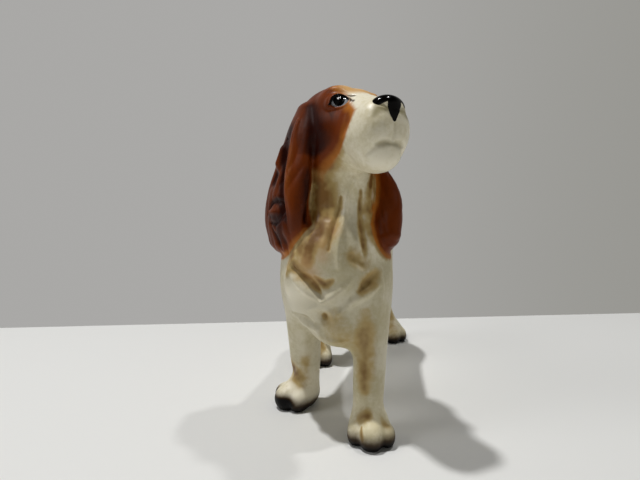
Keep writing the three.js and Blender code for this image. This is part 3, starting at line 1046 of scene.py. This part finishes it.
# grey-green for the slip's tone and for painted shade
SMOKE_AND_SHADE = colour(150, 140, 102)
TAN = colour(176, 108, 44)
CHESTNUT = colour(112, 50, 8)
DARK_CHESTNUT = colour(48, 16, 2)
SOOT_BROWN = colour(72, 54, 36)
BLACK = colour(9, 7, 6)
EYE_GREY = colour(140, 144, 148)
WHITE = colour(250, 248, 244)
GLOSS = {"cream_glaze": 0.48, "chestnut_glaze": 0.38}  # the roughness of the glaze in each material slot
SHEEN = (0.5, 0.14)  # how much light the glaze reflects over the slip, and over dark colours

MIX_SOCKETS = (0, 6, 7)  # of a mix node for colours: its factor, its first and its second colour
MIX_RESULT = 2


class Nodes:
    """Short names for building a material's nodes."""

    def __init__(self, tree):
        self.tree = tree

    def feed(self, node, inputs):
        """Links a node's inputs to sockets or sets them to values."""
        for key, value in inputs.items():
            if isinstance(value, bpy.types.NodeSocket):
                self.tree.links.new(value, node.inputs[key])
            else:
                node.inputs[key].default_value = value

    def node(self, kind, inputs=None, **settings):
        made = self.tree.nodes.new(kind)
        for key, value in settings.items():
            setattr(made, key, value)
        self.feed(made, inputs or {})
        return made

    def attribute(self, name):
        return self.node("ShaderNodeAttribute", attribute_name=name).outputs["Fac"]

    def noise(self, scale, detail=4, roughness=0.6):
        place = self.node("ShaderNodeTexCoord").outputs["Object"]
        inputs = {"Vector": place, "Scale": scale, "Detail": detail, "Roughness": roughness}
        return self.node("ShaderNodeTexNoise", inputs).outputs["Fac"]

    def math(self, operation, *values):
        return self.node("ShaderNodeMath", dict(enumerate(values)), operation=operation).outputs[0]

    def ramp(self, value, start, stop, low=0.0, high=1.0):
        """`low` before `start`, `high` after `stop`, and a smooth ramp between."""
        inputs = {"Value": value, "From Min": start, "From Max": stop, "To Min": low, "To Max": high}
        return self.node("ShaderNodeMapRange", inputs, interpolation_type="SMOOTHSTEP").outputs["Result"]

    def over(self, below, above, share):
        """One colour painted over another."""
        inputs = dict(zip(MIX_SOCKETS, (share, below, above)))
        return self.node("ShaderNodeMix", inputs, data_type="RGBA").outputs[MIX_RESULT]


def slip_colour(make, sprayed, swing):
    """Cream slip, with the grey-green and the ochre that are partly painted shade, and the light colours
    that are sprayed on it.
    """
    base = make.over(CREAM, SHADED_CREAM, make.ramp(sprayed, 0.4, 0.64))
    # grey-green over the slip: its tone, and painted shade in the hollows and beside the nose
    base = make.over(base, SMOKE_AND_SHADE, make.ramp(make.attribute("smoke_and_shade"), 0, 1))
    blotches = make.ramp(make.noise(130.0, detail=2), 0.3, 0.7, 0.72, 1.25)
    # ochre and its painted shade, broken into blotches
    ochre_and_shade = make.math("MULTIPLY", make.attribute("ochre_and_shade"), blotches)
    ochre_and_shade = make.math("MULTIPLY_ADD", swing, 0.5, ochre_and_shade)
    base = make.over(base, HONEY, make.ramp(ochre_and_shade, 0.05, 0.6))
    base = make.over(base, OCHRE_AND_SHADE, make.ramp(ochre_and_shade, 0.45, 1.15))
    base = make.over(base, BLUSH, make.attribute("blush"))
    return make.over(base, PEACH, make.attribute("peach"))


def with_chestnut(make, base, swing):
    """The chestnut over a colour, and how much of it there is."""
    # depth holds painted shade and painted highlights as well as the chestnut's own darkness
    depth = make.math("MULTIPLY_ADD", swing, 0.45, make.attribute("depth"))
    brown = make.over(TAN, CHESTNUT, make.ramp(depth, -0.05, 0.42))
    brown = make.over(brown, DARK_CHESTNUT, make.ramp(depth, 0.45, 1.0))
    edge = make.math("MULTIPLY_ADD", swing, 2.4, make.attribute("chestnut"))
    share = make.ramp(edge, -1.0, 2.2)
    return make.over(base, brown, share), share


def with_soot(make, base, swing):
    """The soot over a colour, and how much of it there is."""
    soot = make.math("MULTIPLY_ADD", swing, 0.35, make.attribute("soot"))
    share = make.ramp(soot, 0.05, 0.8)
    base = make.over(base, SOOT_BROWN, share)
    return make.over(base, BLACK, make.ramp(soot, 0.5, 1.0)), share


def glaze(name, gloss):
    """Slip with sprayed and brushed colours, painted shade and painted highlights under a glaze, satin but
    for glossy eyes and nose.
    """
    material = bpy.data.materials.new(name)
    material.use_nodes = True
    make = Nodes(material.node_tree)
    cloud = make.noise(38.0)
    grain = make.noise(520.0, detail=3)
    sprayed = make.math("MULTIPLY_ADD", cloud, 0.7, make.math("MULTIPLY", grain, 0.3))
    swing = make.math("SUBTRACT", sprayed, 0.5)

    base = slip_colour(make, sprayed, swing)
    base, chestnut = with_chestnut(make, base, swing)
    base, soot = with_soot(make, base, swing)
    eyeball = make.ramp(make.attribute("eyeball"), -0.1, 0.25)
    ink = make.ramp(make.attribute("ink"), -0.12, 0.14)
    base = make.over(base, EYE_GREY, eyeball)
    base = make.over(base, BLACK, ink)
    base = make.over(base, WHITE, make.ramp(make.attribute("glint"), -0.2, 0.4))

    rough = make.ramp(sprayed, 0.3, 0.7, gloss - 0.06, gloss + 0.08)
    wet = make.math("MAXIMUM", ink, eyeball)
    rough = make.math("SUBTRACT", rough, make.math("MULTIPLY", wet, gloss - 0.1))
    bumps = make.math("MULTIPLY_ADD", make.noise(150.0), 0.6, make.math("MULTIPLY", grain, 0.4))
    bump = make.node("ShaderNodeBump", {"Height": bumps, "Strength": 0.12, "Distance": 0.0006})
    dark = make.math("MAXIMUM", make.math("MAXIMUM", ink, soot), chestnut)
    sheen = make.ramp(dark, 0, 1, *SHEEN)
    looks = {"Base Color": base, "Roughness": rough, "Normal": bump.outputs["Normal"]}
    make.feed(material.node_tree.nodes["Principled BSDF"], {**looks, "Specular IOR Level": sheen})
    return material


# ---------------------------------------------------------------- the dog

casting_boxes = np.array([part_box(name) for name in FIELDS])
low = (casting_boxes[:, 0].min(axis=0) - PLUMB) / MM - SEARCH_MARGIN
high = (casting_boxes[:, 1].max(axis=0) - PLUMB) / MM + SEARCH_MARGIN
smooth_points, skin_quads = skin(dog, low, high, STEP)
middles = {}
size, reach = STEP, FEATURE_REACH
while size > FEATURE_STEP:
    wanted = features(smooth_points[skin_quads].mean(axis=1), reach)
    smooth_points, skin_quads, found = split(smooth_points, skin_quads, wanted)
    middles.update(found)
    size, reach = size / 2, reach - FEATURE_INSET * size
smooth_points, outward = settle(dog, smooth_points, times=2)

folds = relief(smooth_points)
skin_points = smooth_points + outward * folds[:, None]
skin_points[:, 2] = np.maximum(skin_points[:, 2], 0)  # the soles stay flat on the table
skin_normals = vertex_normals(skin_points, with_middles(skin_quads, middles))
masks = paint_of(smooth_points, folds)

glazes = {name: glaze(name, gloss) for name, gloss in GLOSS.items()}
owner = without_islands(skin_quads, castings_of(skin_points, skin_quads))
for number, name in enumerate(FIELDS):
    faces = with_middles(skin_quads[owner == number], middles)
    make_piece(name, skin_points, skin_normals, faces, masks)

# ---------------------------------------------------------------- studio


def plane(name, corners, paint):
    """A flat sheet of the studio, in one matt colour."""
    mesh = bpy.data.meshes.new(name)
    mesh.from_pydata(corners, [], [(0, 1, 2, 3)])
    material = bpy.data.materials.new(name)
    material.use_nodes = True
    shader = material.node_tree.nodes["Principled BSDF"]
    shader.inputs["Base Color"].default_value = paint
    shader.inputs["Roughness"].default_value = 0.6
    mesh.materials.append(material)
    thing = add_object(name, mesh)


def area_light(name, place, target, size, power):
    """A round lamp that faces its target."""
    light = bpy.data.lights.new(name, "AREA")
    light.shape = "DISK"
    light.size = size
    light.energy = power
    lamp = add_object(name, light)
    lamp.location = place
    lamp.rotation_euler = (Vector(target) - Vector(place)).to_track_quat("-Z", "Y").to_euler()


# The room around the studio: its two walls ahead, and the dark behind the camera and above.
ROOM_LEFT = colour(168, 167, 165)
ROOM_RIGHT = colour(150, 149, 144)
ROOM_DARK = colour(48, 48, 48)
FLOOR_PAINT = (0.8, 0.8, 0.78, 1)
CAMERA_PLACE = (35.9, -247.5, 109.8)  # from the plumb line, in mm
CAMERA_AZIMUTH = math.radians(11.5)
CAMERA_PITCH = math.atan(12 / 97)  # the view falls 12 for each 97 ahead
LENS = 27.28125  # mm, for a sensor 36 mm wide
WALL_FOOT = ((-268.6, 49.5), (218.4, 190.6))  # two points of the floor's back edge, from the plumb line
FLOOR_STRETCH = 4  # the floor goes on past both points for this many times their distance
FLOOR_DEPTH = 2.5  # metres, towards the camera
DOG_MIDDLE = PLUMB + np.array([0, -0.02, 0.06])
# A lamp is the way to it from the middle of the dog, its size and its power, in metres and watts.
LAMPS = {
    "right_light": ((0.341, 0.154, 1.1), 0.05, 2.5),
    "left_light": ((-0.275, -0.055, 1.1), 0.05, 8.0),
    "side_fill": ((-0.9, -0.45, 0.7), 0.5, 2.4),
}

camera = add_object("camera", bpy.data.cameras.new("camera"))
camera.data.lens = LENS
camera.data.clip_start = 0.01
camera.location = np.array(CAMERA_PLACE) * MM + PLUMB
camera.rotation_euler = (math.pi / 2 - CAMERA_PITCH, 0, CAMERA_AZIMUTH)
bpy.context.scene.camera = camera

left_foot, right_foot = (np.array([*place, 0]) * MM + PLUMB for place in WALL_FOOT)
stretch = (right_foot - left_foot) * FLOOR_STRETCH
far_left, far_right = left_foot - stretch, right_foot + stretch
nearer = np.array([0, -FLOOR_DEPTH, 0])
plane("floor", [far_left + nearer, far_right + nearer, far_right, far_left], FLOOR_PAINT)

for name, (way, size, power) in LAMPS.items():
    area_light(name, DOG_MIDDLE + np.array(way), DOG_MIDDLE, size, power)

world = bpy.data.worlds.new("studio")
bpy.context.scene.world = world
world.use_nodes = True
room = Nodes(world.node_tree)
direction = room.node("ShaderNodeTexCoord").outputs["Generated"]
towards = room.node("ShaderNodeSeparateXYZ", {"Vector": direction}).outputs
walls = room.over(ROOM_DARK, ROOM_LEFT, room.ramp(towards["Y"], -0.4, 0.5))
walls = room.over(walls, ROOM_RIGHT, room.ramp(towards["X"], -0.3, 0.5))
air = room.over(walls, ROOM_DARK, room.ramp(towards["Z"], 0.42, 0.8))
room.feed(world.node_tree.nodes["Background"], {"Color": air})

bpy.context.scene.view_settings.view_transform = "Standard"
